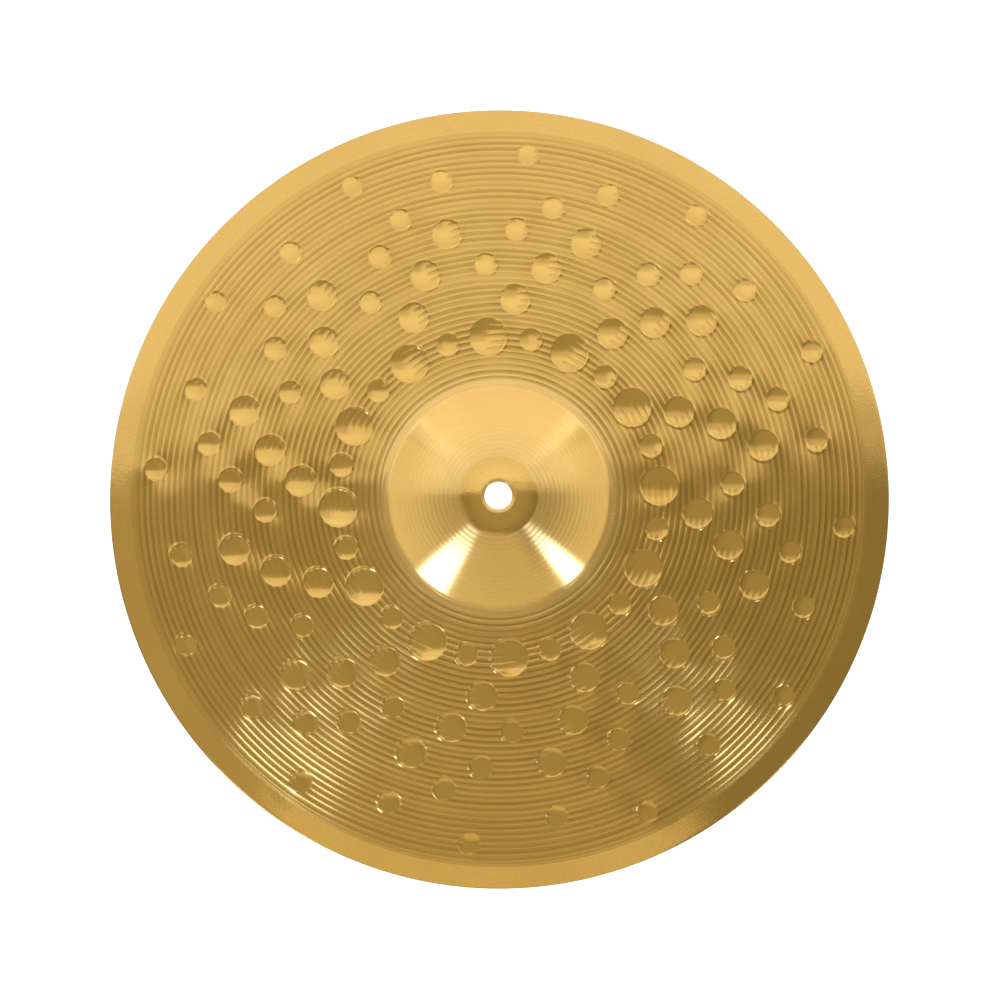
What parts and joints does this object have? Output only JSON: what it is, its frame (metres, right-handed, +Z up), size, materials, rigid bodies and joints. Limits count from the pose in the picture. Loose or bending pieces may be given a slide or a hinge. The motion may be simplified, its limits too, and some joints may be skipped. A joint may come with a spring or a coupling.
{
  "type": "crash cymbal",
  "caption": "Thin round brass cymbal with a domed bell, a lathed and hammered bow, a plain edge band and a centre hole for a stand.",
  "frame": {"origin": "on the axis, at the height of the rim's lowest edge", "axes": "+Z up the axis, out of the top of the bell; the hammered pattern repeats every 30 degrees around it"},
  "size_m": [0.3556, 0.3556, 0.0346],
  "materials": {
    "brass": "lathed satin brass: fine circular tool lines, polished ridges on the bow and bell, smooth satin crown and edge band"
  },
  "bodies": {
    "root": {"cymbal": "brass"}
  },
  "joints": []
}
